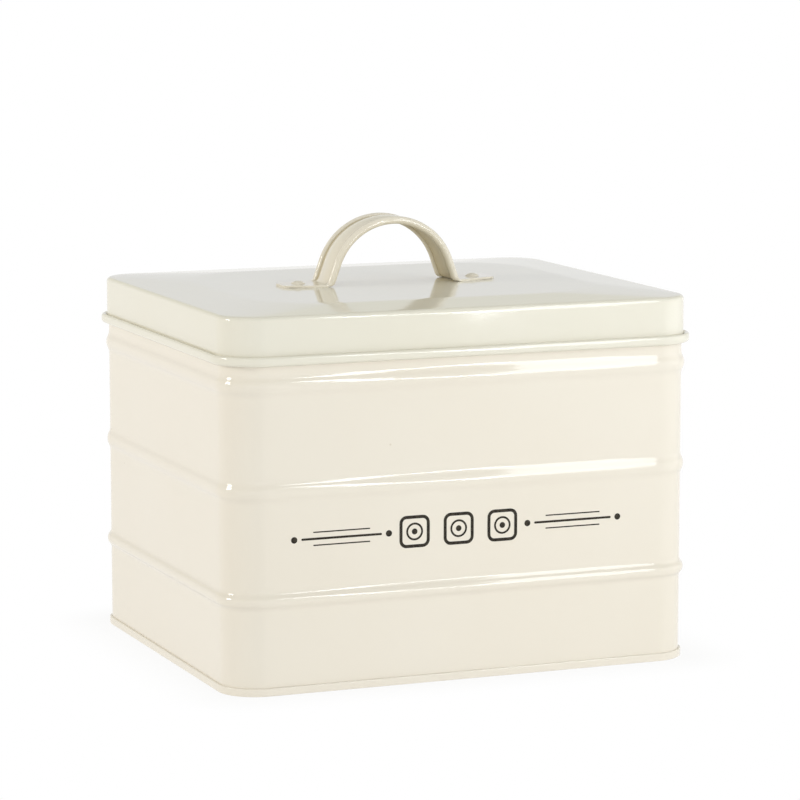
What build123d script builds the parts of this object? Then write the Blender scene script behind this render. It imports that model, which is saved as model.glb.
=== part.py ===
from build123d import *
import os
from math import cos, radians, sin, sqrt, tan

# Storage tin for washing tablets: a seamed sheet-metal box with three swaged beads,
# a slip-on lid with a curled skirt, and a riveted strap handle.
# Millimetres. Z is up, the front faces -Y, the origin is under the middle of the foot.

# Sheet and fits
sheet = 0.4  # painted steel sheet of the box and the lid
seam_clearance = 0.05  # between the wall and the base seam folded round it
lid_clearance = 0.3  # between the wall and the lid, all round
rivet_clearance = 0.05  # round each rivet's shank

# Box
body_width = 200.0  # between the outer faces of the short walls, along X
body_depth = 168.0  # between the outer faces of the long walls, along Y
corner_radius = 15.0  # outside of the upright corners
low_bead = 36.5  # height of the lowest bead's crest
top_bead_drop = 8.1  # the top bead's crest below the lid
middle_bead_lift = 1.2  # the middle bead above half-way between the others
bead_length = 10.0  # a bead from blend to blend, up the wall
bead_proud = 1.2  # crest of a bead beyond the flat wall
mouth_hem = 4.0  # depth of the fold at the mouth
side_seam_width = 6.0  # flattened lock seam inside the back wall
side_seam_gap = 0.4  # ends of the lock seam to the base and to the mouth's fold

# Base
seam_height = 3.2  # folded seam round the foot
seam_fold = 0.9  # its layers outside the wall, pressed flat
seam_round = 0.4  # rounded edges of the seam

# Lid
lid_edge_height = 150.0  # top of the lid just inside its rolled edge
lid_edge_radius = 2.2  # outside of the rolled edge
skirt_depth = 19.5  # from the lid's edge to the lowest point of its curl
curl_height = 3.4  # curl at the foot of the skirt
curl_proud = 2.4  # curl beyond the skirt
curl_gap = 0.25  # raw edge of the curl to the skirt
crown_rise = 1.4  # raised middle of the lid above its edge
crown_border = 22.0  # slope between the rolled edge and the raised middle
crown_corner = 34.0  # corners of the raised middle, in plan

# Handle
strap_width = 20.2
strap_sheet = 0.9
strap_rim = 3.2  # diameter of the rolled long edges
strap_swell = 12.0  # width of the raised middle, pressed up from inside
swell_rise = 0.9
rim_lift = 0.15  # ends of the rolled edges above the lid
arch_rise = 27.1  # top of the strap above the lid
arch_radius = 26.9  # outside of the arch
leg_lean = 20.0  # degrees between the straight legs and the upright
handle_shift = -1.5  # the handle is riveted a little left of the middle
foot_bend = 3.0  # bend between arch and foot, on the strap's middle
foot_length = 17.0  # flat foot beyond its bend
foot_end_width = 11.6
foot_end_radius = 2.0

# Rivets
rivet_reach = 9.0  # rivet centre beyond the foot's bend
rivet_shank = 3.2
rivet_head = 6.2
rivet_head_rise = 1.3
rivet_tail = 5.4  # closed end under the lid
rivet_tail_rise = 0.8

# Derived levels and offsets
lid_offset = lid_clearance + sheet  # lid's outer face beyond the wall's outer face
lid_width = body_width + 2 * lid_offset
lid_depth = body_depth + 2 * lid_offset
lid_corner = corner_radius + lid_offset
crown_height = lid_edge_height + crown_rise
skirt_foot = lid_edge_height - skirt_depth
top_bead = skirt_foot - top_bead_drop
middle_bead = (low_bead + top_bead) / 2 + middle_bead_lift
mouth_round = sheet  # the hem is two sheets thick, so its fold has this radius
wall_top = lid_edge_height - lid_edge_radius + mouth_round  # the fold lies level with the roll's centre
wall_foot = sheet  # the wall stands in the base seam
curl_foot_radius = (curl_proud + sheet) / 2
curl_head_radius = (curl_proud - curl_gap) / 2
curl_start = skirt_foot + curl_foot_radius

UP = Vector(0, 0, 1)


def plan_outline(offset):
    """Rounded outline of the wall's outer face, moved outwards by offset."""
    with BuildSketch() as plan:
        RectangleRounded(body_width + 2 * offset, body_depth + 2 * offset, corner_radius + offset)
    return plan.face().outer_wire()


def draw_wall_line(foot, top):
    """Draws the wall's outer face in section, with its beads, in the line that is being built."""
    level = foot
    for centre in (low_bead, middle_bead, top_bead):
        low = centre - bead_length / 2
        high = centre + bead_length / 2
        low_turn = (bead_proud / 2, centre - bead_length / 4)
        high_turn = (bead_proud / 2, centre + bead_length / 4)
        Line((0, level), (0, low))
        TangentArc((0, low), low_turn, tangent=(0, 1))
        ThreePointArc(low_turn, (bead_proud, centre), high_turn)
        TangentArc((0, high), high_turn, tangent=(0, -1))
        level = high
    Line((0, level), (0, top))


def section_plane(path):
    """Upright plane across a plan outline at its start: X points outwards and Y points up."""
    tangent = path % 0
    outward = tangent.cross(UP)
    return Plane(origin=path @ 0, x_dir=outward, z_dir=-tangent)


wall_path = plan_outline(0)
skirt_path = plan_outline(lid_offset)

# Body wall
with BuildPart() as body_wall:
    with BuildSketch(section_plane(wall_path)) as wall_section:
        with BuildLine() as wall_line:
            draw_wall_line(wall_foot, wall_top - mouth_round)
            offset(amount=sheet, side=Side.LEFT)
        make_face()
        with Locations((-sheet, wall_top - mouth_round)):
            Circle(mouth_round)
            Rectangle(2 * sheet, mouth_hem - mouth_round, align=(Align.CENTER, Align.MAX))
    sweep(path=wall_path)
    seam_depth = sheet / 2 + sheet  # starts half-way into the wall and stands one sheet inside it
    seam_plane = Plane(origin=(0, body_depth / 2 - sheet / 2, 0), x_dir=(0, 1, 0), z_dir=(1, 0, 0))
    with BuildSketch(seam_plane) as side_seam_section:
        with BuildLine():
            draw_wall_line(seam_height + side_seam_gap, wall_top - mouth_hem - side_seam_gap)
            offset(amount=seam_depth, side=Side.LEFT)
        make_face()
    extrude(amount=side_seam_width / 2, both=True)
body_wall.part.label = "body_wall"

# Base panel
with BuildPart() as base_panel:
    with BuildSketch() as seam_plan:
        seam_offset = seam_clearance + seam_fold
        RectangleRounded(
            body_width + 2 * seam_offset, body_depth + 2 * seam_offset, corner_radius + seam_offset
        )
    extrude(amount=seam_height)
    with BuildSketch(Plane.XY.offset(wall_foot)) as groove_plan:
        RectangleRounded(
            body_width + 2 * seam_clearance,
            body_depth + 2 * seam_clearance,
            corner_radius + seam_clearance,
        )
        groove_inset = sheet + seam_clearance
        RectangleRounded(
            body_width - 2 * groove_inset,
            body_depth - 2 * groove_inset,
            corner_radius - groove_inset,
            mode=Mode.SUBTRACT,
        )
    extrude(amount=seam_height - wall_foot, mode=Mode.SUBTRACT)
    with BuildSketch() as recess_plan:
        recess_inset = groove_inset + sheet
        RectangleRounded(
            body_width - 2 * recess_inset, body_depth - 2 * recess_inset, corner_radius - recess_inset
        )
    extrude(amount=seam_height - sheet, mode=Mode.SUBTRACT)
    foot_ring = base_panel.faces().sort_by(Axis.Z)[0]
    seam_top = base_panel.faces().group_by(Axis.Z)[-1].sort_by(SortBy.AREA)[0]
    fillet(foot_ring.edges() + seam_top.outer_wire().edges(), radius=seam_round)
base_panel.part.label = "base_panel"


def lid_form(inset):
    """Solid of the lid's outside, or of the hollow in it when inset is the sheet."""
    with BuildPart() as form:
        with BuildSketch(Plane.XY.offset(curl_start)):
            RectangleRounded(lid_width - 2 * inset, lid_depth - 2 * inset, lid_corner - inset)
        extrude(amount=lid_edge_height - inset - curl_start)
        fillet(form.faces().sort_by(Axis.Z)[-1].edges(), radius=lid_edge_radius - inset)
        with BuildSketch(Plane.XY.offset(lid_edge_height - inset)):
            RectangleRounded(
                lid_width - 2 * lid_edge_radius,
                lid_depth - 2 * lid_edge_radius,
                lid_corner - lid_edge_radius,
            )
        with BuildSketch(Plane.XY.offset(crown_height - inset)):
            RectangleRounded(
                lid_width - 2 * (lid_edge_radius + crown_border),
                lid_depth - 2 * (lid_edge_radius + crown_border),
                crown_corner,
            )
        loft(ruled=True)
    return form.part


lid_outside = lid_form(0)
lid_inside = lid_form(sheet)

# Handle line, on the strap's middle: an arch, straight legs that lean outwards, and a bend to each foot
strap_middle = crown_height + strap_sheet / 2
arch_middle = arch_radius - strap_sheet / 2
arch_centre = crown_height + arch_rise - arch_radius
leg_turn = radians(90 - leg_lean)  # from the top of the arch to the start of a leg
turn_reach = arch_middle * sin(leg_turn)
turn_height = arch_centre + arch_middle * cos(leg_turn)
leg_foot_height = strap_middle + foot_bend * (1 - cos(leg_turn))
leg_foot_reach = turn_reach + (turn_height - leg_foot_height) / tan(leg_turn)
bend_reach = leg_foot_reach + foot_bend * sin(leg_turn)
foot_reach = bend_reach + foot_length

# The rolled edges end in the bends, where they just clear the lid
rim_end_rise = strap_rim / 2 + rim_lift - strap_sheet / 2
rim_end_run = sqrt(foot_bend**2 - (foot_bend - rim_end_rise) ** 2)
rim_end_reach = bend_reach - rim_end_run
rim_end_height = strap_middle + rim_end_rise
rim_end_slope = (foot_bend - rim_end_rise, rim_end_run)

rivet_places = [(handle_shift + side * (bend_reach + rivet_reach), 0) for side in (-1, 1)]
rivet_hole = rivet_shank / 2 + rivet_clearance

# Lid
with BuildPart() as lid:
    add(lid_outside)
    add(lid_inside, mode=Mode.SUBTRACT)
    with BuildSketch(section_plane(skirt_path)) as curl_section:
        with BuildLine() as curl_line:
            curl_head = skirt_foot + curl_height - curl_head_radius
            ThreePointArc(
                (-sheet, curl_start),
                (curl_proud - curl_foot_radius, skirt_foot),
                (curl_proud, curl_start),
            )
            Line((curl_proud, curl_start), (curl_proud, curl_head))
            ThreePointArc(
                (curl_proud, curl_head),
                (curl_proud - curl_head_radius, curl_head + curl_head_radius),
                (curl_gap, curl_head),
            )
            offset(amount=sheet, side=Side.RIGHT)
        make_face()
    sweep(path=skirt_path)
    with BuildSketch(Plane.XY.offset(crown_height)):
        with Locations(*rivet_places):
            Circle(rivet_hole)
    extrude(amount=-2 * sheet, mode=Mode.SUBTRACT)
lid.part.label = "lid"

# Handle
with BuildLine(Plane.XZ) as arch_line:
    left_end = (handle_shift - rim_end_reach, rim_end_height)
    left_leg_foot = (handle_shift - leg_foot_reach, leg_foot_height)
    left_turn = (handle_shift - turn_reach, turn_height)
    arch_top = (handle_shift, arch_centre + arch_middle)
    right_turn = (handle_shift + turn_reach, turn_height)
    right_leg_foot = (handle_shift + leg_foot_reach, leg_foot_height)
    right_end = (handle_shift + rim_end_reach, rim_end_height)
    TangentArc(left_end, left_leg_foot, tangent=rim_end_slope)
    Line(left_leg_foot, left_turn)
    ThreePointArc(left_turn, arch_top, right_turn)
    Line(right_turn, right_leg_foot)
    TangentArc(right_end, right_leg_foot, tangent=(-rim_end_slope[0], rim_end_slope[1]))
arch_path = arch_line.wire()

with BuildPart() as handle:
    arch_plane = Plane(origin=arch_path @ 0, x_dir=(0, 1, 0), z_dir=arch_path % 0)
    with BuildSketch(arch_plane) as strap_section:
        Rectangle(strap_width - strap_rim, strap_sheet)
        with GridLocations(strap_width - strap_rim, 0, 2, 1):
            Circle(strap_rim / 2)
        for face_level, mode in ((strap_sheet / 2, Mode.ADD), (-strap_sheet / 2, Mode.SUBTRACT)):
            with BuildLine():
                swell_edges = ((-strap_swell / 2, face_level), (strap_swell / 2, face_level))
                ThreePointArc(swell_edges[0], (0, face_level + swell_rise), swell_edges[1])
                Line(*swell_edges)
            make_face(mode=mode)
    sweep(path=arch_path)
    for side in (-1, 1):
        bend_place = handle_shift + side * bend_reach
        rim_place = handle_shift + side * rim_end_reach
        with BuildLine(Plane.XZ) as bend_line:
            TangentArc((bend_place, strap_middle), (rim_place, rim_end_height), tangent=(-side, 0))
        bend_path = bend_line.wire()
        with BuildSketch(Plane.YZ.offset(bend_place)) as bend_section:
            with Locations((0, strap_middle)):
                Rectangle(strap_width, strap_sheet)
        sweep(path=bend_path)
        rim_side = (strap_width - strap_rim) / 2
        with Locations((rim_place, -rim_side, rim_end_height), (rim_place, rim_side, rim_end_height)):
            Sphere(strap_rim / 2, rotation=(0, 0, 90 + 90 * side))  # its seam lies inside the rim
        foot_plane = Plane((handle_shift, 0, crown_height))
        with BuildSketch(foot_plane) as foot_plan:
            with BuildLine():
                Polyline(
                    (side * bend_reach, -strap_width / 2),
                    (side * foot_reach, -foot_end_width / 2),
                    (side * foot_reach, foot_end_width / 2),
                    (side * bend_reach, strap_width / 2),
                    close=True,
                )
            make_face()
            fillet(foot_plan.vertices().group_by(Axis.X)[-1 if side > 0 else 0], radius=foot_end_radius)
            with Locations((side * (bend_reach + rivet_reach), 0)):
                Circle(rivet_hole, mode=Mode.SUBTRACT)
        extrude(amount=strap_sheet)
handle.part.label = "handle"

# Handle rivets
with BuildPart() as handle_rivets:
    for place, _ in rivet_places:
        head_seat = crown_height + strap_sheet
        tail_seat = crown_height - sheet
        with BuildSketch(Plane.XZ) as rivet_section:
            with BuildLine():
                head_edge = (place + rivet_head / 2, head_seat)
                Polyline(
                    (place, head_seat + rivet_head_rise),
                    (place, tail_seat - rivet_tail_rise),
                    (place + rivet_tail / 2, tail_seat - rivet_tail_rise),
                    (place + rivet_tail / 2, tail_seat),
                    (place + rivet_shank / 2, tail_seat),
                    (place + rivet_shank / 2, head_seat),
                    head_edge,
                )
                TangentArc((place, head_seat + rivet_head_rise), head_edge, tangent=(1, 0))
            make_face()
        revolve(axis=Axis((place, 0, 0), (0, 0, 1)))
handle_rivets.part.label = "handle_rivets"

os.makedirs("parts", exist_ok=True)
export_step(body_wall.part, "parts/body_wall.step")
export_step(base_panel.part, "parts/base_panel.step")
export_step(lid.part, "parts/lid.step")
export_step(handle.part, "parts/handle.step")
export_step(handle_rivets.part, "parts/handle_rivets.step")
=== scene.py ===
# %% [markdown]
# A painted storage tin for washing tablets: a seamed steel box with three swaged beads, a slip-on
# lid with a curled skirt, and a strap handle held by two rivets. The CAD model gives the sizes and
# places. This lesson models the same pieces again as smooth sheet metal, paints them, and lights
# them as in a small studio. First the imported CAD frame is loaded.

# %% Load the frame
from math import asin, atan2, cos, degrees, radians, sin, sqrt, tau

import bmesh
import bpy
from mathutils import Matrix, Quaternion, Vector


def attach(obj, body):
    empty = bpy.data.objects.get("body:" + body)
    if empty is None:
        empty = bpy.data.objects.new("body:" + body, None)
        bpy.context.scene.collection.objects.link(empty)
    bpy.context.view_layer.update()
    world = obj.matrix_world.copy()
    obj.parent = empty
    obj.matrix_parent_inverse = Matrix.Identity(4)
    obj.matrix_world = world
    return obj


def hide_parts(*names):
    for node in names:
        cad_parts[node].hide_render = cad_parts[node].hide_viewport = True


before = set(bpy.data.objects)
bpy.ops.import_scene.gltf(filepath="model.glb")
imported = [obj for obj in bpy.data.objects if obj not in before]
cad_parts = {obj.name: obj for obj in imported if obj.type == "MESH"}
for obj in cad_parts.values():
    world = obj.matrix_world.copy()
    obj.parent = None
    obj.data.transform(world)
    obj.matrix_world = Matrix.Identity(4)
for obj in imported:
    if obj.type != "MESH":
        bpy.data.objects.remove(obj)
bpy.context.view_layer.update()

MM = 0.001
print("CAD nodes:", sorted(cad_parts))

# %% [markdown]
# Every piece of sheet on this tin has one section that goes all the way round it, so the main tool
# is a pen that draws a section. A line is a vertex that is extruded, and a bend is a vertex that
# is spun about the bend's centre. Both are bmesh operators, so no list of points is worked out by
# hand. The section lies in the plane X = 0, with Y pointing outwards and Z pointing up, in
# millimetres.

# %% A pen that draws sections


def verts_of(parts):
    """Picks the vertices out of what an operator gives back."""
    return [part for part in parts if isinstance(part, bmesh.types.BMVert)]


def swing(bm, drawn, centre, axis, angle, steps):
    """Spins what is drawn about a centre, and gives the last copy."""
    return bmesh.ops.spin(
        bm, geom=drawn, cent=centre, axis=axis, angle=angle, steps=steps
    )["geom_last"]


class Pen:
    """Draws a section with lines and bends, one after the other."""

    def __init__(self, out, up):
        self.bm = bmesh.new()
        self.first = self.tip = self.bm.verts.new((0, out, up))

    def line(self, out, up, hold=0.0):
        """Goes straight on. A hold sets a vertex near each end, so that a long flat shades flat."""
        start, end = self.tip.co.copy(), Vector((0, out, up))
        length = (end - start).length
        stops = [1.0]
        if hold and length > 3 * hold:
            stops = [hold / length, 1 - hold / length, 1.0]
        for stop in stops:
            self.tip = bmesh.ops.extrude_vert_indiv(self.bm, verts=[self.tip])["verts"][0]
            self.tip.co = start.lerp(end, stop)

    def bend(self, out, up, turn, steps):
        """Swings about a centre by so many degrees, counted from outwards towards up."""
        last = swing(self.bm, [self.tip], (0, out, up), (1, 0, 0), radians(turn), steps)
        self.tip = verts_of(last)[0]

    def close(self):
        """Joins the last point to the first."""
        self.bm.edges.new((self.tip, self.first))


# %% [markdown]
# A tin is rolled and pressed round a rounded rectangle, so the section is carried along the same
# way: straight runs are moved copies, and each corner is a quarter turn of spin about the corner's
# own centre. The straight runs have a step close to each corner, so that smooth shading doesn't
# bend the flat walls. The walk starts in the middle of the back, where such a tin has its joint.

# %% Carry a section round the tin
CORNER_STEPS = 16
RUN_STOPS = (0.015, 0.2, 0.5, 0.8, 0.985, 1.0)
MERGE = 0.002


def whole_line(bm):
    """Everything that is drawn so far, as the operators want it."""
    return list(bm.verts) + list(bm.edges)


def slide(bm, drawn, step, steps=1):
    """Draws out what is drawn by a step, so many times, and gives the last copy."""
    return bmesh.ops.spin(
        bm, geom=drawn, angle=0.0, steps=steps, axis=(0, 0, 1), dvec=step
    )["geom_last"]


def carry_round(bm, width, depth, corner):
    """Carries the drawn section once round a rounded rectangle of that size."""
    bmesh.ops.translate(bm, vec=(0, depth / 2, 0), verts=bm.verts)
    section = whole_line(bm)
    half_run, side_run = width / 2 - corner, depth - 2 * corner
    back, front = depth / 2 - corner, corner - depth / 2
    legs = (
        ((half_run, 0, 0), (half_run, back, 0)),
        ((0, -side_run, 0), (half_run, front, 0)),
        ((-2 * half_run, 0, 0), (-half_run, front, 0)),
        ((0, side_run, 0), (-half_run, back, 0)),
        ((half_run, 0, 0), None),
    )
    for run, centre in legs:
        done = 0.0
        for stop in RUN_STOPS:
            section = slide(bm, section, Vector(run) * (stop - done))
            done = stop
        if centre:
            section = swing(bm, section, centre, (0, 0, 1), -tau / 4, CORNER_STEPS)
    bmesh.ops.remove_doubles(bm, verts=bm.verts, dist=MERGE)


print(f"a corner turns in {CORNER_STEPS} steps, a run has {len(RUN_STOPS)} stops")

# %% [markdown]
# Every finished piece goes through the same last steps. Doubles are merged, the normals are made
# to point outwards, faces are shaded smooth and only real folds keep a sharp edge. Then the piece
# is brought from millimetres to metres, rides on its CAD body, and stands for its CAD node. Some
# pieces are drawn in parts, so there is also a tool that moves one bmesh into another.

# %% Join parts and finish a piece
SHARP_FOLD = radians(34)


def mesh_from(bm, name):
    """Turns a bmesh into a mesh and lets the bmesh go."""
    mesh = bpy.data.meshes.new(name)
    bm.to_mesh(mesh)
    bm.free()
    return mesh


def take_over(bm, part):
    """Moves everything in a part's bmesh into another bmesh."""
    passing = mesh_from(part, "passing")
    bm.from_mesh(passing)
    bpy.data.meshes.remove(passing)


def put_in_scene(name, data):
    """Makes an object of a mesh, lamp or camera and puts it in the scene."""
    thing = bpy.data.objects.new(name, data)
    bpy.context.scene.collection.objects.link(thing)
    return thing


def finish_piece(bm, name, finish, body, node=None):
    """Turns a bmesh in millimetres into a painted object that rides on a CAD body."""
    bmesh.ops.remove_doubles(bm, verts=bm.verts, dist=MERGE)
    bmesh.ops.recalc_face_normals(bm, faces=bm.faces)
    for face in bm.faces:
        face.smooth = True
    for edge in bm.edges:
        edge.smooth = not (edge.is_manifold and edge.calc_face_angle() > SHARP_FOLD)
    open_edges = sum(1 for edge in bm.edges if not edge.is_manifold)
    bmesh.ops.scale(bm, vec=(MM, MM, MM), verts=bm.verts)
    mesh = mesh_from(bm, name)
    mesh.materials.append(finish)
    piece = put_in_scene(name, mesh)
    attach(piece, body)
    if node:
        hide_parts(node)
    print(f"{name}: {len(mesh.polygons)} faces, {open_edges} open edges")


print(f"folds of more than {degrees(SHARP_FOLD):.0f} degrees stay sharp")

# %% [markdown]
# The paint is a thick glossy enamel, sprayed on and baked. It is never one flat colour, and box,
# lid and handle share its small faults. So these are built once, as a node group with named
# inputs, and each paint places the group with its own values. It gives a colour, a roughness and a
# height. The first step makes the group's sockets, and two tools that keep the node lines short.

# %% Enamel group
COLOUR, NUMBER = "NodeSocketColor", "NodeSocketFloat"


def add_node(tree, kind, values=None, **settings):
    """Adds a node with its settings and with values on its input sockets."""
    node = tree.nodes.new(kind)
    for name, setting in settings.items():
        setattr(node, name, setting)
    for socket, value in (values or {}).items():
        node.inputs[socket].default_value = value
    return node


def link(tree, source, output, target, socket):
    """Links an output of one node to an input of another."""
    tree.links.new(source.outputs[output], target.inputs[socket])


enamel = bpy.data.node_groups.new("enamel_skin", "ShaderNodeTree")
# The thin paint colour also serves as painted shade, and the last share is how much painted shade a
# piece adds.
for name, kind, value in (
    ("Paint", COLOUR, (0.8, 0.8, 0.8, 1)),
    ("Thin Paint And Shade", COLOUR, (0.7, 0.7, 0.7, 1)),
    ("Speck", COLOUR, (0.3, 0.25, 0.2, 1)),
    ("Gloss Roughness", NUMBER, 0.1),
    ("Speck Share", NUMBER, 0.02),
    ("Painted Shade Share", NUMBER, 0.0),
):
    enamel.interface.new_socket(name, in_out="INPUT", socket_type=kind).default_value = value
for name, kind in (("Colour", COLOUR), ("Roughness", NUMBER), ("Height", NUMBER)):
    enamel.interface.new_socket(name, in_out="OUTPUT", socket_type=kind)
given = add_node(enamel, "NodeGroupInput")
result = add_node(enamel, "NodeGroupOutput")
print("enamel group takes", [socket.name for socket in given.outputs if socket.name])

# %% [markdown]
# Sprayed paint lies a little thicker in some places, and where it is thin the warmer ground shows.
# A soft noise makes such clouds. They follow Object coordinates, so they stay on the metal when
# the lid is lifted. A piece can add painted shade of its own, a share of the same darker colour
# for places that lie in the piece's own shade.

# %% Clouds of thin paint
on_metal = add_node(enamel, "ShaderNodeTexCoord")


def blend(tree, share, first, second):
    """Mixes two colours by a share. Takes and gives output sockets."""
    mix = add_node(tree, "ShaderNodeMix", data_type="RGBA")
    colours = [socket for socket in mix.inputs if socket.type == "RGBA"]
    tree.links.new(share, mix.inputs["Factor"])
    tree.links.new(first, colours[0])
    tree.links.new(second, colours[1])
    return [socket for socket in mix.outputs if socket.type == "RGBA"][0]


cloud = add_node(enamel, "ShaderNodeTexNoise", {"Scale": 14.0, "Detail": 3.0})
cloud_levels = {"From Min": 0.35, "From Max": 0.75, "To Max": 0.35}
cloud_span = add_node(enamel, "ShaderNodeMapRange", cloud_levels)
# Adds the clouds of thin paint and a piece's own painted shade.
thin_and_shade_share = add_node(enamel, "ShaderNodeMath", operation="ADD", use_clamp=True)
link(enamel, on_metal, "Object", cloud, "Vector")
link(enamel, cloud, "Fac", cloud_span, "Value")
link(enamel, cloud_span, "Result", thin_and_shade_share, 0)
link(enamel, given, "Painted Shade Share", thin_and_shade_share, 1)
coat_colour = blend(
    enamel, thin_and_shade_share.outputs["Value"], given.outputs["Paint"], given.outputs["Thin Paint And Shade"]
)
print("clouds of thin paint:", len(enamel.nodes), "nodes so far")

# %% [markdown]
# A few specks of dust are caught in the paint before it is baked. A Voronoi texture has one cell
# for each possible speck and a random colour for each cell. Only cells whose red lies under the
# speck share get one, a small dot round the cell's middle.

# %% Specks of dust
grit = add_node(enamel, "ShaderNodeTexVoronoi", {"Scale": 90.0})
cell_colour = add_node(enamel, "ShaderNodeSeparateColor")
few = add_node(enamel, "ShaderNodeMath", operation="LESS_THAN")
near_middle = add_node(enamel, "ShaderNodeMapRange", {"From Min": 0.05, "From Max": 0.025})
speck_mask = add_node(enamel, "ShaderNodeMath", operation="MULTIPLY")
link(enamel, on_metal, "Object", grit, "Vector")
link(enamel, grit, "Color", cell_colour, "Color")
link(enamel, cell_colour, "Red", few, 0)
link(enamel, given, "Speck Share", few, 1)
link(enamel, grit, "Distance", near_middle, "Value")
link(enamel, few, "Value", speck_mask, 0)
link(enamel, near_middle, "Result", speck_mask, 1)
speckled = blend(enamel, speck_mask.outputs["Value"], coat_colour, given.outputs["Speck"])
enamel.links.new(speckled, result.inputs["Colour"])
print("specks of dust:", len(enamel.nodes), "nodes so far")

# %% [markdown]
# Baked enamel isn't a perfect mirror. Handling leaves a faint haze on its gloss, and the spray
# leaves an orange-peel, a fine waviness that breaks up the reflections. One noise shifts the
# roughness up and down, and a finer one gives the height for a bump.

# %% Haze and orange-peel
haze = add_node(enamel, "ShaderNodeTexNoise", {"Scale": 45.0, "Detail": 4.0})
haze_levels = {"From Min": 0.3, "From Max": 0.7, "To Min": -0.02, "To Max": 0.03}
haze_span = add_node(enamel, "ShaderNodeMapRange", haze_levels)
rough = add_node(enamel, "ShaderNodeMath", operation="ADD")
orange_peel = add_node(enamel, "ShaderNodeTexNoise", {"Scale": 380.0, "Detail": 1.0})
link(enamel, on_metal, "Object", haze, "Vector")
link(enamel, haze, "Fac", haze_span, "Value")
link(enamel, given, "Gloss Roughness", rough, 0)
link(enamel, haze_span, "Result", rough, 1)
link(enamel, rough, "Value", result, "Roughness")
link(enamel, on_metal, "Object", orange_peel, "Vector")
link(enamel, orange_peel, "Fac", result, "Height")
print("enamel group:", len(enamel.nodes), "nodes")

# %% [markdown]
# Each paint places the enamel group with its own values. The box is a warm cream, the lid came
# from another batch and is a little greener, and the handle was sprayed by itself and is paler.
# The handle also gets painted shade: a darker, yellower colour on its inner face, its grooves and
# the undersides of its rims, where the arch and the rims shade them. Where it goes is written on
# the handle's points later on, and its material reads that note with an Attribute node. The
# shader itself stays in the material: a dielectric base with the gloss of baked enamel, and a bump
# so shallow that it only breaks up the reflections.

# %% Paints for box, lid and handle
SPECK_COLOUR = (0.74, 0.67, 0.56, 1)
PEEL_DEPTH = 0.00002
ENAMEL_IOR = 1.5
# Name of the note that says where the handle gets painted shade.
PAINTED_SHADE = "painted_shade"


def new_material(name):
    """Gives a new material and its node tree."""
    material = bpy.data.materials.new(name)
    material.use_nodes = True
    return material, material.node_tree


def make_enamel(name, paint, thin_paint_and_shade, gloss, specks, peel, shade_places=None):
    """Makes one paint. The name of a note on the points can say where it gets painted shade."""
    material, tree = new_material(name)
    shader = tree.nodes["Principled BSDF"]
    shader.inputs["IOR"].default_value = ENAMEL_IOR
    own_values = {
        "Paint": (*paint, 1),
        "Thin Paint And Shade": (*thin_paint_and_shade, 1),
        "Speck": SPECK_COLOUR,
        "Gloss Roughness": gloss,
        "Speck Share": specks,
    }
    skin = add_node(tree, "ShaderNodeGroup", own_values, node_tree=enamel)
    bump = add_node(tree, "ShaderNodeBump", {"Strength": peel, "Distance": PEEL_DEPTH})
    link(tree, skin, "Colour", shader, "Base Color")
    link(tree, skin, "Roughness", shader, "Roughness")
    link(tree, skin, "Height", bump, "Height")
    link(tree, bump, "Normal", shader, "Normal")
    if shade_places:
        note = add_node(tree, "ShaderNodeAttribute", attribute_name=shade_places)
        link(tree, note, "Fac", skin, "Painted Shade Share")
    print(f"{name}: roughness about {gloss}, specks in {specks:.0%} of the cells")
    return material


box_enamel = make_enamel(
    "box_enamel", (0.85, 0.795, 0.70), (0.82, 0.75, 0.635), 0.055, 0.03, 0.2
)
lid_enamel = make_enamel(
    "lid_enamel", (0.82, 0.79, 0.69), (0.795, 0.755, 0.63), 0.06, 0.02, 0.2
)
# The handle's second colour is both its thin paint and its painted shade.
handle_enamel = make_enamel(
    "handle_enamel", (0.90, 0.85, 0.75), (0.60, 0.525, 0.36), 0.06, 0.02, 0.1, PAINTED_SHADE
)

# %% [markdown]
# The body wall is one sheet, 0.4 mm thick, rolled to a rounded rectangle. Three beads are swaged
# into it, which stiffen the flat walls and give the tin its look. A bead is an S of bends: out,
# over the crest, and back in. The lowest bead is shorter and stands prouder than the others. The
# inside of the sheet follows the outside, with each bend tighter or wider by the sheet. At the
# mouth the edge is folded inwards, so that nobody is cut when reaching in.

# %% Body wall section
sheet = 0.4
body_width, body_depth, body_corner = 200.0, 168.0, 15.0
wall_foot, wall_top = 0.4, 148.2
mouth_hem = 4.0
# Each bead has the height of its crest, its length up the wall, and how far it stands out.
beads = ((37.5, 8.4, 1.55), (80.65, 10.0, 1.2), (122.4, 10.0, 1.2))
FLAT_HOLD = 0.6
BEAD_STEPS, HEM_STEPS = 6, 8


def bead_bends(level, length, proud):
    """Centre, turn and steps of the bends of one bead, from its foot to its head."""
    radius = (proud**2 / 4 + length**2 / 16) / proud
    turn = degrees(2 * atan2(proud / 2, length / 4))
    return [
        (radius, level - length / 2, -turn, BEAD_STEPS),
        (proud - radius, level, 2 * turn, 2 * BEAD_STEPS),
        (radius, level + length / 2, -turn, BEAD_STEPS),
    ]


def climb_beads(pen, out, hold=0.0):
    """Draws up the wall and over its beads, at a distance from the wall's outer face."""
    for level, length, proud in beads:
        pen.line(out, level - length / 2, hold)
        for bend in bead_bends(level, length, proud):
            pen.bend(*bend)


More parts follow.
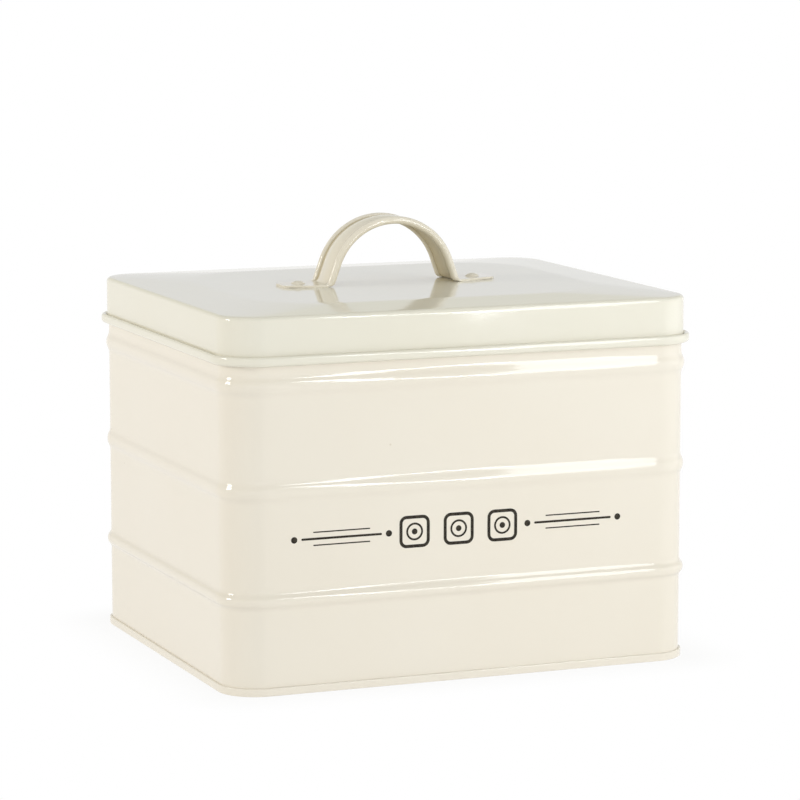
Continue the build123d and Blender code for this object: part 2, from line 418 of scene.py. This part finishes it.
wall_pen = Pen(0, wall_foot)
climb_beads(wall_pen, 0, FLAT_HOLD)
wall_pen.line(0, wall_top - sheet, FLAT_HOLD)
wall_pen.bend(-sheet, wall_top - sheet, 180, HEM_STEPS)
wall_pen.line(-2 * sheet, wall_top - mouth_hem)
wall_pen.line(-sheet, wall_top - mouth_hem)
for level, length, proud in reversed(beads):
    wall_pen.line(-sheet, level + length / 2, FLAT_HOLD)
    for out, up, turn, steps in reversed(bead_bends(level, length, proud)):
        wall_pen.bend(out, up, -turn, steps)
wall_pen.line(-sheet, wall_foot, FLAT_HOLD)
wall_pen.close()
print(f"wall section: {len(wall_pen.bm.verts)} points, beads at {[bead[0] for bead in beads]}")

# %% [markdown]
# Where the sheet's two ends meet, in the middle of the back, they are hooked into each other and
# pressed flat: a lock seam, which stands one sheet inside the wall. It is drawn as the inner line
# of the wall, pulled out to a narrow band, and given its thickness.

# %% Body wall with its lock seam
base_seam_height = 3.2
lock_width, lock_gap = 6.0, 0.4
lock_thickness = 1.2 * sheet
lock_face = -2 * sheet

carry_round(wall_pen.bm, body_width, body_depth, body_corner)

lock_pen = Pen(lock_face, base_seam_height + lock_gap)
climb_beads(lock_pen, lock_face)
lock_pen.line(lock_face, wall_top - mouth_hem - lock_gap)
lock = lock_pen.bm
bmesh.ops.translate(lock, vec=(-lock_width / 2, body_depth / 2, 0), verts=lock.verts)
slide(lock, whole_line(lock), (lock_width, 0, 0))
bmesh.ops.recalc_face_normals(lock, faces=lock.faces)
if sum(face.normal.y for face in lock.faces) > 0:
    bmesh.ops.reverse_faces(lock, faces=lock.faces)
bmesh.ops.solidify(lock, geom=lock.faces, thickness=lock_thickness)
take_over(wall_pen.bm, lock)
finish_piece(wall_pen.bm, "tin_wall", box_enamel, "box", "body_wall")

# %% [markdown]
# The base is a separate sheet. Its edge is folded round the foot of the wall and pressed flat,
# which makes the raised seam that the tin stands on, and its panel lies a little higher, inside
# the seam. The section is drawn from the underside round the seam, down into the groove that holds
# the wall, and up to the panel's top. The two open rings that are left are filled.

# %% Base panel with its folded seam
seam_clearance = 0.05
seam_fold = 0.9
seam_round = 0.4
SEAM_STEPS = 4
seam_out = seam_clearance + seam_fold
groove_in = -sheet - seam_clearance
recess_in = groove_in - sheet
ring_flat_in = recess_in + seam_round
ring_flat_out = seam_out - seam_round

base_pen = Pen(recess_in, base_seam_height - sheet)
base_pen.line(recess_in, seam_round)
base_pen.bend(ring_flat_in, seam_round, 90, SEAM_STEPS)
base_pen.line(ring_flat_out, 0)
base_pen.bend(ring_flat_out, seam_round, 90, SEAM_STEPS)
base_pen.line(seam_out, base_seam_height - seam_round)
base_pen.bend(ring_flat_out, base_seam_height - seam_round, 90, SEAM_STEPS)
base_pen.line(seam_clearance, base_seam_height)
base_pen.line(seam_clearance, wall_foot)
base_pen.line(groove_in, wall_foot)
base_pen.line(groove_in, base_seam_height)
carry_round(base_pen.bm, body_width, body_depth, body_corner)
bmesh.ops.holes_fill(base_pen.bm, edges=base_pen.bm.edges, sides=0)
finish_piece(base_pen.bm, "tin_base", box_enamel, "box", "base_panel")

# %% [markdown]
# The lid is pressed from one sheet: a top with a rolled edge, a skirt that slips over the box, and
# a curl at its foot, where the raw edge is turned outwards and up so that it points back at the
# skirt. The section starts under the lid's top, goes down inside the skirt, round the curl and its
# raw edge, and back up the outside.

# %% Lid section
lid_clearance = 0.3
lid_out = lid_clearance + sheet
lid_width, lid_depth = body_width + 2 * lid_out, body_depth + 2 * lid_out
lid_corner = body_corner + lid_out
lid_edge_height, lid_roll = 150.0, 1.7
skirt_foot = 130.8
curl_height, curl_proud, curl_gap = 3.8, 2.4, 0.25
INNER_ROLL_STEPS, OUTER_ROLL_STEPS = 6, 10
CURL_FOOT_STEPS, CURL_HEAD_STEPS, CURL_INNER_STEPS = 12, 10, 8
roll_level = lid_edge_height - lid_roll
foot_radius = (curl_proud + sheet) / 2
head_radius = (curl_proud - curl_gap) / 2
foot_out, foot_level = curl_proud - foot_radius, skirt_foot + foot_radius
head_out, head_level = curl_proud - head_radius, skirt_foot + curl_height - head_radius

lid_pen = Pen(-lid_roll, lid_edge_height - sheet)
lid_pen.bend(-lid_roll, roll_level, -90, INNER_ROLL_STEPS)
lid_pen.line(-sheet, foot_level, FLAT_HOLD)
lid_pen.bend(foot_out, foot_level, 180, CURL_FOOT_STEPS)
lid_pen.line(curl_proud, head_level)
lid_pen.bend(head_out, head_level, 180, CURL_HEAD_STEPS)
lid_pen.line(curl_gap + sheet, head_level)
lid_pen.bend(head_out, head_level, -180, CURL_INNER_STEPS)
lid_pen.line(curl_proud - sheet, foot_level)
lid_pen.bend(foot_out, foot_level, -180, CURL_INNER_STEPS)
lid_pen.line(0, roll_level, FLAT_HOLD)
lid_pen.bend(-lid_roll, roll_level, 90, OUTER_ROLL_STEPS)
print(f"lid section: {len(lid_pen.bm.verts)} points, skirt {roll_level - foot_level:.1f} mm high")

# %% [markdown]
# The top isn't quite flat. A border slopes up from the rolled edge to a raised middle, which has
# rounder corners than the lid. It shows as a dull band behind the front edge, where the
# reflections of the handle stop. So the outline of the raised middle is carried round as a single
# vertex, bridged to the edge, and the bridge is divided, so that the crease stays soft but narrow.
# The same is done inside, one sheet lower.

# %% Lid with its raised middle
crown_rise, crown_border, crown_corner = 1.4, 22.5, 34.0
crown_height = lid_edge_height + crown_rise
crown_inset = 2 * (lid_roll + crown_border)
BORDER_CUTS = 9
CREASE_MARGINS = (1.5, 8.0)
SAME_LEVEL = 0.01

carry_round(lid_pen.bm, lid_width, lid_depth, lid_corner)


def raise_middle(bm, edge_level, middle_level):
    """Bridges the open ring at one level to the raised middle's outline, and closes the middle."""
    rim = [
        edge
        for edge in bm.edges
        if edge.is_boundary and abs(edge.verts[0].co.z - edge_level) < SAME_LEVEL
    ]
    outline = Pen(0, middle_level).bm
    carry_round(outline, lid_width - crown_inset, lid_depth - crown_inset, crown_corner)
    take_over(bm, outline)
    ring = [edge for edge in bm.edges if edge.is_wire]
    bridge = bmesh.ops.bridge_loops(bm, edges=rim + ring)
    loops = set(rim) | set(ring)
    slopes = [edge for edge in bridge["edges"] if edge not in loops]
    bmesh.ops.subdivide_edges(bm, edges=slopes, cuts=BORDER_CUTS, use_grid_fill=True)
    middle = bmesh.ops.holes_fill(bm, edges=ring, sides=0)["faces"]
    for margin in CREASE_MARGINS:
        bmesh.ops.inset_region(bm, faces=middle, thickness=margin, use_even_offset=True)
    print(f"raised middle at {middle_level:.1f} mm: {len(slopes)} slopes")


raise_middle(lid_pen.bm, lid_edge_height, crown_height)
raise_middle(lid_pen.bm, lid_edge_height - sheet, crown_height - sheet)
finish_piece(lid_pen.bm, "tin_lid", lid_enamel, "cover", "lid")

# %% [markdown]
# The handle is a strip of thicker steel. Its long edges are rolled to round rims, so it doesn't
# cut the hand, and its middle is pressed up a little. The section is drawn as it lies at the top
# of the arch, front edge to back edge over the outer face and back under the inner one, and closed
# to a ring.

# %% Handle section
strap_width, strap_sheet, strap_rim = 20.2, 0.9, 3.2
strap_swell, swell_rise = 12.0, 0.9
SWELL_STEPS, RIM_STEPS = 10, 18
half_sheet, half_swell = strap_sheet / 2, strap_swell / 2
rim_radius = strap_rim / 2
rim_place = strap_width / 2 - rim_radius
rim_join = rim_place - sqrt(rim_radius**2 - half_sheet**2)
rim_turn = 360 - 2 * degrees(asin(half_sheet / rim_radius))
swell_radius = (half_swell**2 + swell_rise**2) / (2 * swell_rise)
swell_turn = 2 * degrees(asin(half_swell / swell_radius))
swell_drop = swell_rise - swell_radius

strap_pen = Pen(-half_swell, half_sheet)
strap_pen.bend(0, half_sheet + swell_drop, -swell_turn, SWELL_STEPS)
strap_pen.line(rim_join, half_sheet)
strap_pen.bend(rim_place, 0, -rim_turn, RIM_STEPS)
strap_pen.line(half_swell, -half_sheet)
strap_pen.bend(0, -half_sheet + swell_drop, swell_turn, SWELL_STEPS)
strap_pen.line(-rim_join, -half_sheet)
strap_pen.bend(-rim_place, 0, -rim_turn, RIM_STEPS)
strap_pen.close()
strap = strap_pen.bm
print(f"strap section: {len(strap.verts)} points, rims turn {rim_turn:.0f} degrees")

# %% [markdown]
# Two notes are written on every point of the section before it is carried along, because spin
# copies them with the points. One is the height that the point has where the strip is hammered
# flat. The other is painted shade, a darker, yellower paint where the handle shades itself: most
# in the inner grooves beside the rims and the outer groove beside the back rim, much on the inner
# face, a little in the outer groove beside the front rim, and on the rims more underneath than on
# top.

# %% Notes on the handle's section
# Shares of painted shade on the handle's rims, inner face and grooves.
RIM_SHADE, INNER_SHADE, INNER_GROOVE_SHADE = 0.35, 0.75, 1.0
FRONT_GROOVE_SHADE, BACK_GROOVE_SHADE = 0.25, 0.8
groove_start = half_swell - 0.5
rim_start = rim_join + 0.01
flat_note = strap.verts.layers.float.new("flat_height")
shade_note = strap.verts.layers.float.new(PAINTED_SHADE)
for vert in strap.verts:
    across, height = abs(vert.co.y), vert.co.z
    middle_line = 0.0
    if across < half_swell:
        middle_line = sqrt(max(swell_radius**2 - across**2, 0)) + swell_drop
    vert[flat_note] = min(max(height - middle_line, -half_sheet), half_sheet)
    inside = height < middle_line
    if across > rim_start:
        vert[shade_note] = RIM_SHADE * (1 - height / rim_radius) / 2
    elif across > groove_start:
        outer_shade = BACK_GROOVE_SHADE if vert.co.y > 0 else FRONT_GROOVE_SHADE
        vert[shade_note] = INNER_GROOVE_SHADE if inside else outer_shade
    elif inside:
        vert[shade_note] = INNER_SHADE
# Counts the points that get painted shade.
print("points with thin paint:", sum(1 for vert in strap.verts if vert[shade_note]))

# %% [markdown]
# Each leg of the handle is a spin about the arch's centre, a straight stretch that leans outwards,
# and a spin the other way at the foot's bend. Where the stretch ends follows from the two circles:
# it touches both. The handle sits a little to the left of the middle, as on the real tin.

# %% Course of the handle
arch_rise, arch_radius, leg_lean = 27.1, 26.9, 20.0
handle_shift = -1.5
foot_bend = 3.0
strap_middle = crown_height + half_sheet
arch_middle = arch_radius - half_sheet
arch_centre = crown_height + arch_rise - arch_radius
bend_level = strap_middle + foot_bend
leg_turn = radians(90 - leg_lean)
leg_drop = arch_centre - bend_level + (arch_middle + foot_bend) * cos(leg_turn)
leg_run = leg_drop * cos(leg_turn) / sin(leg_turn)
bend_reach = (arch_middle + foot_bend) * sin(leg_turn) + leg_run
print(f"legs drop {leg_drop:.1f} mm and run out {leg_run:.1f} mm, bends at {bend_reach:.1f} mm")

# %% [markdown]
# Towards each foot the rims are hammered flat, so that the foot can lie on the lid. Each ring of
# the bend is pressed towards the strip's own thickness, a little more from step to step. A bend
# and its pressing can't be one spin, so the ring is spun one step at a time.

# %% Legs of the handle
ARCH_STEPS, LEG_STEPS, BEND_STEPS = 32, 3, 12


def press_flat(ring, middle, normal, share):
    """Presses a ring of the strap towards its plain sheet thickness."""
    for vert in verts_of(ring):
        height = (vert.co - middle).dot(normal)
        vert.co += normal * (vert[flat_note] - height) * share


def carry_leg(ring, side):
    """Carries the strap's ring down one leg and round its bend, and gives the last ring."""
    across = (0, side, 0)
    ring = swing(strap, ring, (handle_shift, 0, arch_centre), across, leg_turn, ARCH_STEPS)
    leg_step = Vector((side * leg_run, 0, -leg_drop)) / LEG_STEPS
    ring = slide(strap, ring, leg_step, LEG_STEPS)
    bend_centre = Vector((handle_shift + side * bend_reach, 0, bend_level))
    for step in range(BEND_STEPS):
        ring = swing(strap, ring, bend_centre, across, -leg_turn / BEND_STEPS, 1)
        share = (step + 1) / BEND_STEPS
        lean = leg_turn * (1 - share)
        normal = Vector((side * sin(lean), 0, cos(lean)))
        press_flat(ring, bend_centre - normal * foot_bend, normal, share**2)
    return ring


bmesh.ops.translate(
    strap, vec=(handle_shift, 0, arch_centre + arch_middle), verts=strap.verts
)
top_ring = whole_line(strap)
leg_ends = {side: carry_leg(top_ring, side) for side in (-1, 1)}
print("handle with its legs:", len(strap.faces), "faces")

# %% [markdown]
# The foot goes on straight, tapers, and ends in rounded corners. Its end springs up by a fraction
# of a millimetre, as thin feet do when the rivet pulls them down, and that leaves the fine dark
# line under it. It lies in the open, so it gets no painted shade.

# %% Feet of the handle
foot_length, foot_spring = 17.0, 0.22
foot_end_width, foot_end_radius = 11.6, 2.0
round_start = foot_length - foot_end_radius
ROUND_ANGLES = (20, 40, 60, 75, 87)
foot_hold = 0.4
foot_stops = [foot_hold, round_start / 2, round_start]
foot_stops += [round_start + foot_end_radius * sin(radians(angle)) for angle in ROUND_ANGLES]


def foot_half_width(along):
    """Half the foot's width at a distance from its bend, with the rounded corners at its end."""
    half = strap_width / 2 + (foot_end_width - strap_width) / 2 * along / foot_length
    into_round = along - round_start
    if into_round > 0:
        half -= foot_end_radius - sqrt(max(foot_end_radius**2 - into_round**2, 0))
    return half


for side, ring in leg_ends.items():
    done, half = 0.0, strap_width / 2
    for stop in foot_stops:
        ring = slide(strap, ring, (side * (stop - done), 0, 0))
        press_flat(ring, Vector((0, 0, strap_middle)), Vector((0, 0, 1)), 1.0)
        verts = verts_of(ring)
        # The feet get no painted shade.
        for vert in verts:
            vert[shade_note] = 0.0
        bmesh.ops.scale(strap, vec=(1, foot_half_width(stop) / half, 1), verts=verts)
        rise = foot_spring * ((stop / foot_length) ** 3 - (done / foot_length) ** 3)
        bmesh.ops.translate(strap, vec=(0, 0, rise), verts=verts)
        done, half = stop, foot_half_width(stop)
    print(f"foot ends at {handle_shift + side * (bend_reach + done):.2f} mm")
bmesh.ops.holes_fill(strap, edges=strap.edges, sides=0)
strap.verts.layers.float.remove(flat_note)
finish_piece(strap, "strap_handle", handle_enamel, "cover", "handle")

# %% [markdown]
# A rivet holds each foot: a domed head on top, a shank through foot and lid, and a closed end
# under the lid. Its half section is drawn from the axis outwards and spun once round, with the
# last step merged into the first.

# %% Rivets
rivet_reach, rivet_shank = 9.0, 3.2
rivet_head, rivet_head_rise = 6.2, 1.3
rivet_tail, rivet_tail_rise = 5.4, 0.8
DOME_STEPS, RIVET_STEPS = 8, 32
head_seat = crown_height + strap_sheet
head_top = head_seat + rivet_head_rise
tail_seat = crown_height - sheet
tail_end = tail_seat - rivet_tail_rise
dome_radius = (rivet_head**2 / 4 + rivet_head_rise**2) / (2 * rivet_head_rise)
dome_turn = degrees(asin(rivet_head / 2 / dome_radius))

rivets = bmesh.new()
for side in (-1, 1):
    rivet_pen = Pen(0, head_top)
    rivet_pen.bend(0, head_top - dome_radius, -dome_turn, DOME_STEPS)
    rivet_pen.line(rivet_shank / 2, head_seat)
    rivet_pen.line(rivet_shank / 2, tail_seat)
    rivet_pen.line(rivet_tail / 2, tail_seat)
    rivet_pen.line(rivet_tail / 2, tail_end)
    rivet_pen.line(0, tail_end)
    rivet = rivet_pen.bm
    bmesh.ops.spin(
        rivet, geom=whole_line(rivet), axis=(0, 0, 1), angle=tau, steps=RIVET_STEPS, use_merge=True
    )
    bmesh.ops.remove_doubles(rivet, verts=rivet.verts, dist=MERGE)
    rivet_place = handle_shift + side * (bend_reach + rivet_reach)
    bmesh.ops.translate(rivet, vec=(rivet_place, 0, 0), verts=rivet.verts)
    take_over(rivets, rivet)
finish_piece(rivets, "strap_rivets", handle_enamel, "cover", "handle_rivets")

# %% [markdown]
# The front carries a print in dark ink. Printed ink isn't an even black: it lies in a thin film
# with paler blots, and it is less glossy than the enamel under it. A fine noise gives the blots
# their two tones.

# %% Ink
INK_ROUGHNESS, INK_SPECULAR = 0.35, 0.2
INK_TONES = ((0.35, (0.013, 0.010, 0.006)), (0.75, (0.055, 0.045, 0.030)))


def set_tones(ramp, tones):
    """Gives a colour ramp its stops, each with a place and a colour."""
    stops = ramp.color_ramp.elements
    stops.remove(stops[1])
    stops[0].position = tones[0][0]
    stops[0].color = (*tones[0][1], 1)
    for place, colour in tones[1:]:
        stops.new(place).color = (*colour, 1)


ink, ink_tree = new_material("print_ink")
ink_shader = ink_tree.nodes["Principled BSDF"]
ink_shader.inputs["Roughness"].default_value = INK_ROUGHNESS
ink_shader.inputs["Specular IOR Level"].default_value = INK_SPECULAR
ink_place = add_node(ink_tree, "ShaderNodeTexCoord")
ink_blot = add_node(ink_tree, "ShaderNodeTexNoise", {"Scale": 700.0, "Detail": 3.0})
ink_tone = add_node(ink_tree, "ShaderNodeValToRGB")
set_tones(ink_tone, INK_TONES)
link(ink_tree, ink_place, "Object", ink_blot, "Vector")
link(ink_tree, ink_blot, "Fac", ink_tone, "Fac")
link(ink_tree, ink_tone, "Color", ink_shader, "Base Color")
print("ink:", ink.name, "in", len(INK_TONES), "tones")

# %% [markdown]
# The print is a plain row of pressed tablets between two rules, which shows what the tin is for.
# It could be painted by a material, but as a thin film of its own it keeps crisp edges. The tools
# for it draw flat plates with a grid and a bevel, discs with a circle, and rings with an inset
# whose middle is taken out.

# %% Tools for the print
PLATE_STEPS, DISC_STEPS = 6, 40
motif = bmesh.new()


def draw_plate(width, height, x, z, corner):
    """Draws one flat inked plate with rounded corners, and gives its face."""
    made = bmesh.ops.create_grid(motif, x_segments=1, y_segments=1, size=0.5)["verts"]
    bmesh.ops.scale(motif, vec=(width, height, 1), verts=made)
    bmesh.ops.translate(motif, vec=(x, z, 0), verts=made)
    rounded = bmesh.ops.bevel(
        motif, geom=made, offset=corner, offset_type="OFFSET", affect="VERTICES",
        segments=PLATE_STEPS, profile=0.5, material=-1,
    )["verts"]
    return max(rounded[0].link_faces, key=lambda face: len(face.verts))


def draw_disc(radius, x, z):
    """Draws one flat inked disc, and gives its face."""
    made = bmesh.ops.create_circle(motif, cap_ends=True, segments=DISC_STEPS, radius=radius)
    bmesh.ops.translate(motif, vec=(x, z, 0), verts=made["verts"])
    return made["verts"][0].link_faces[0]


def draw_ring(face, line):
    """Leaves only a line of ink along the edge of a face."""
    bmesh.ops.inset_region(
        motif, faces=[face], thickness=line, use_even_offset=True, use_boundary=True
    )
    bmesh.ops.delete(motif, geom=[face], context="FACES_ONLY")


print(f"a disc has {DISC_STEPS} sides, a plate's corner {PLATE_STEPS}")

# %% [markdown]
# Each tablet is a rounded square with a ring and a dot in it. On both sides a long rule between
# two shorter ones ends in dots. The shapes are drawn flat, stood up against the front wall, and
# extruded to a film that reaches a hair into the paint, so that no gap shows under it.

# %% Print on the front
print_middle, print_level = -4.0, 61.5
ink_film = 0.05
tablet_step, tablet_size, tablet_corner, tablet_line = 19, 13.0, 3.0, 1.3
ring_radius, ring_line, dot_radius = 3.6, 0.8, 1.2
rule_place = 50.0
end_dots, end_dot_radius = (70.0, 30.0), 1.3
# Each rule has its length, its height, its place above the middle, and its corner.
rules = ((34.0, 0.9, 0.0, 0.4), (24.0, 0.5, 2.6, 0.2), (24.0, 0.5, -2.6, 0.2))

for spot in (-tablet_step, 0, tablet_step):
    draw_ring(draw_plate(tablet_size, tablet_size, spot, 0, tablet_corner), tablet_line)
    draw_ring(draw_disc(ring_radius, spot, 0), ring_line)
    draw_disc(dot_radius, spot, 0)
for side in (-1, 1):
    for rule_length, rule_height, above, rule_corner in rules:
        draw_plate(rule_length, rule_height, side * rule_place, above, rule_corner)
    for end in end_dots:
        draw_disc(end_dot_radius, side * end, 0)
loose = [vert for vert in motif.verts if not vert.link_faces]
bmesh.ops.delete(motif, geom=loose, context="VERTS")
upright = Matrix.Rotation(tau / 4, 3, "X")
front_place = (print_middle, -body_depth / 2 - ink_film, print_level)
bmesh.ops.rotate(motif, cent=(0, 0, 0), matrix=upright, verts=motif.verts)
bmesh.ops.translate(motif, vec=front_place, verts=motif.verts)
film = bmesh.ops.extrude_face_region(motif, geom=motif.faces[:])["geom"]
bmesh.ops.translate(motif, vec=(0, 2 * ink_film, 0), verts=verts_of(film))
finish_piece(motif, "tablet_print", ink, "box")

# %% [markdown]
# The camera is a long lens, a step to the left of the tin and a little above it. Its place was
# found by laying the outline of the CAD model over the photograph. There is no shift and no depth
# of field, so other views stay true.

# %% Camera
camera_data = bpy.data.cameras.new("camera")
camera_data.lens, camera_data.sensor_width = 160.0, 36.0
camera = put_in_scene("camera", camera_data)
look_at = Vector((4.90, 0.0, 101.25)) * MM
camera_round, camera_up, camera_far = radians(-22.136), radians(8.356), 1.4926
camera_back = Vector(
    (sin(camera_round) * cos(camera_up), -cos(camera_round) * cos(camera_up), sin(camera_up))
)
camera.location = look_at + camera_back * camera_far
camera.rotation_euler = (-camera_back).to_track_quat("-Z", "Y").to_euler()
bpy.context.scene.camera = camera
print("camera at", [round(value, 3) for value in camera.location])

# %% [markdown]
# The floor is a white table, a wide disc that belongs to the stage and not to the part. Its own
# colour is lit and shaded, so the tin stands in a soft shadow. A glow can be mixed in, so that the
# picture ends in white.

# %% Floor
FLOOR_RADIUS, FLOOR_SIDES = 6.0, 96
TABLE_COLOUR = (0.9, 0.9, 0.9, 1)
floor_bm = bmesh.new()
bmesh.ops.create_circle(floor_bm, cap_ends=True, segments=FLOOR_SIDES, radius=FLOOR_RADIUS)
floor_mesh = mesh_from(floor_bm, "floor")
floor = put_in_scene("floor", floor_mesh)

table_white, table = new_material("table_white")
table.nodes.remove(table.nodes["Principled BSDF"])
table_paint = add_node(table, "ShaderNodeBsdfDiffuse", {"Color": TABLE_COLOUR})
table_glow = add_node(table, "ShaderNodeEmission")
table_mix = add_node(table, "ShaderNodeMixShader")
link(table, table_paint, "BSDF", table_mix, 1)
link(table, table_glow, "Emission", table_mix, 2)
link(table, table_mix, "Shader", table.nodes["Material Output"], "Surface")
floor_mesh.materials.append(table_white)
print("floor radius", FLOOR_RADIUS, "m")

# %% [markdown]
# The glow is a little weaker at the tin's foot than further out, and so the shadow stays faint and
# fades away. How far a place lies from the foot is measured as from a rectangle: the coordinates
# are folded to one quarter, the rectangle's half sides are taken off, and what is left has a
# length.

# %% Glow round the foot
foot_half_sides = (0.09, 0.075, 0)
fade_width, foot_glow = 0.04, 0.86
table_place = add_node(table, "ShaderNodeTexCoord")
folded = add_node(table, "ShaderNodeVectorMath", operation="ABSOLUTE")
past_sides = add_node(table, "ShaderNodeVectorMath", {1: foot_half_sides}, operation="SUBTRACT")
outside = add_node(table, "ShaderNodeVectorMath", operation="MAXIMUM")
far = add_node(table, "ShaderNodeVectorMath", operation="LENGTH")
fade_span = {"From Min": 0.0, "From Max": fade_width, "To Min": foot_glow}
fade = add_node(table, "ShaderNodeMapRange", fade_span, interpolation_type="SMOOTHSTEP")
link(table, table_place, "Object", folded, 0)
link(table, folded, "Vector", past_sides, 0)
link(table, past_sides, "Vector", outside, 0)
link(table, outside, "Vector", far, 0)
link(table, far, "Value", fade, "Value")
print(f"glow {foot_glow:.0%} at the foot, full from {fade_width / MM:.0f} mm on")

# %% [markdown]
# The glow is for the camera and for reflections. A quarter of it is there for all light, because a
# white table in a bright room throws light back up at the walls.

# %% Rays that see the glow
least_glow = 0.25
ray = add_node(table, "ShaderNodeLightPath")
seen = add_node(table, "ShaderNodeMath", operation="MAXIMUM")
shown = add_node(table, "ShaderNodeMath", operation="MAXIMUM")
glow_share = add_node(table, "ShaderNodeMath", operation="MULTIPLY")
at_least = add_node(table, "ShaderNodeMath", {1: least_glow}, operation="MAXIMUM")
link(table, ray, "Is Camera Ray", seen, 0)
link(table, ray, "Is Glossy Ray", seen, 1)
link(table, seen, "Value", shown, 0)
link(table, ray, "Is Transmission Ray", shown, 1)
link(table, fade, "Result", glow_share, 0)
link(table, shown, "Value", glow_share, 1)
link(table, glow_share, "Value", at_least, 0)
link(table, at_least, "Value", table_mix, "Fac")
print("table:", len(table.nodes), "nodes")

# %% [markdown]
# The room round the table is white low down, pale grey a little higher, and duller towards the
# ceiling. A glossy lid that is seen at a low angle mirrors the far wall just above the table, so
# the cool grey there sets the tone of the lid's raised middle. The warmer grey above it is what
# the sloping border mirrors, and so the border shows as a band.

# %% World
ROOM_TONES = (
    (0.0, (1, 1, 1)),
    (0.09, (0.875, 0.885, 0.91)),
    (0.18, (0.875, 0.885, 0.91)),
    (0.25, (0.84, 0.84, 0.74)),
    (0.33, (0.80, 0.80, 0.70)),
    (0.60, (0.48, 0.48, 0.46)),
)
world = bpy.data.worlds.new("studio")
bpy.context.scene.world = world
world.use_nodes = True
room = world.node_tree
room_place = add_node(room, "ShaderNodeTexCoord")
room_split = add_node(room, "ShaderNodeSeparateXYZ")
room_rise = add_node(room, "ShaderNodeValToRGB")
set_tones(room_rise, ROOM_TONES)
link(room, room_place, "Generated", room_split, "Vector")
link(room, room_split, "Z", room_rise, "Fac")
link(room, room_rise, "Color", room.nodes["Background"], "Color")
print("world:", len(ROOM_TONES), "tones from the table to the ceiling")

# %% [markdown]
# A bead mirrors a lamp twice, once on its hollow bend and once on its round one. So a narrow
# upright lamp draws two fine lines, which start together and draw apart, and a broad one fills the
# space between them, except on the steeper lowest bead. The broad strip at the right leans as the
# slopes of the beads look up, and so the bright band on them ends square. It stops above the
# table, or the upright skirt would mirror it too. Two narrow strips beside it draw the fine lines,
# large dim boxes fill in the front and the right, and a warm softbox at the left puts a point of
# light on each bead's corner.

# %% Softboxes
TIN_MIDDLE = (0, 0, 0.1)
STRIP_PLANE = -0.784
WHITE, COOL, WARM = (1, 1, 1), (0.92, 0.96, 1.0), (1.0, 0.96, 0.90)


def hang_softbox(name, place, size, radiance, tint=WHITE, aim=TIN_MIDDLE, lean=0.0):
    """Hangs a rectangular softbox that faces its aim, turned about its own axis by degrees."""
    lamp = bpy.data.lights.new(name, "AREA")
    lamp.shape = "RECTANGLE"
    lamp.size, lamp.size_y = size
    lamp.energy = radiance * size[0] * size[1] * tau / 2
    lamp.color = tint
    softbox = put_in_scene(name, lamp)
    softbox.location = place
    facing = (Vector(aim) - Vector(place)).to_track_quat("-Z", "Y")
    softbox.rotation_euler = (facing @ Quaternion((0, 0, 1), radians(lean))).to_euler()
    print(name, "at", place, "with", round(lamp.energy, 2), "W")


def hang_strip(name, x, z, size, radiance, lean=0.0):
    """Hangs a strip in the plane of the strips, facing straight back."""
    hang_softbox(name, (x, STRIP_PLANE, z), size, radiance, COOL, (x, 0, z), lean)


hang_strip("front_strip", 0.4265, 0.475, (0.115, 0.82), 5.8, -12.5)
hang_strip("strip_side", 0.238, 0.37, (0.034, 0.36), 12.5)
hang_strip("strip_foot", 0.278, 0.145, (0.034, 0.19), 12.5, 26)
hang_softbox("right_fill", (0.80, -0.40, 0.24), (0.90, 0.44), 0.65)
hang_softbox("front_fill", (-0.40, -2.30, 0.45), (2.40, 0.60), 0.5)
hang_softbox("left_softbox", (-1.38, 0.18, 0.58), (0.38, 0.38), 11.8, WARM)

# %% [markdown]
# Colours are shown as they are, with the Standard view.

# %% Colours as they are
bpy.context.scene.view_settings.view_transform = "Standard"
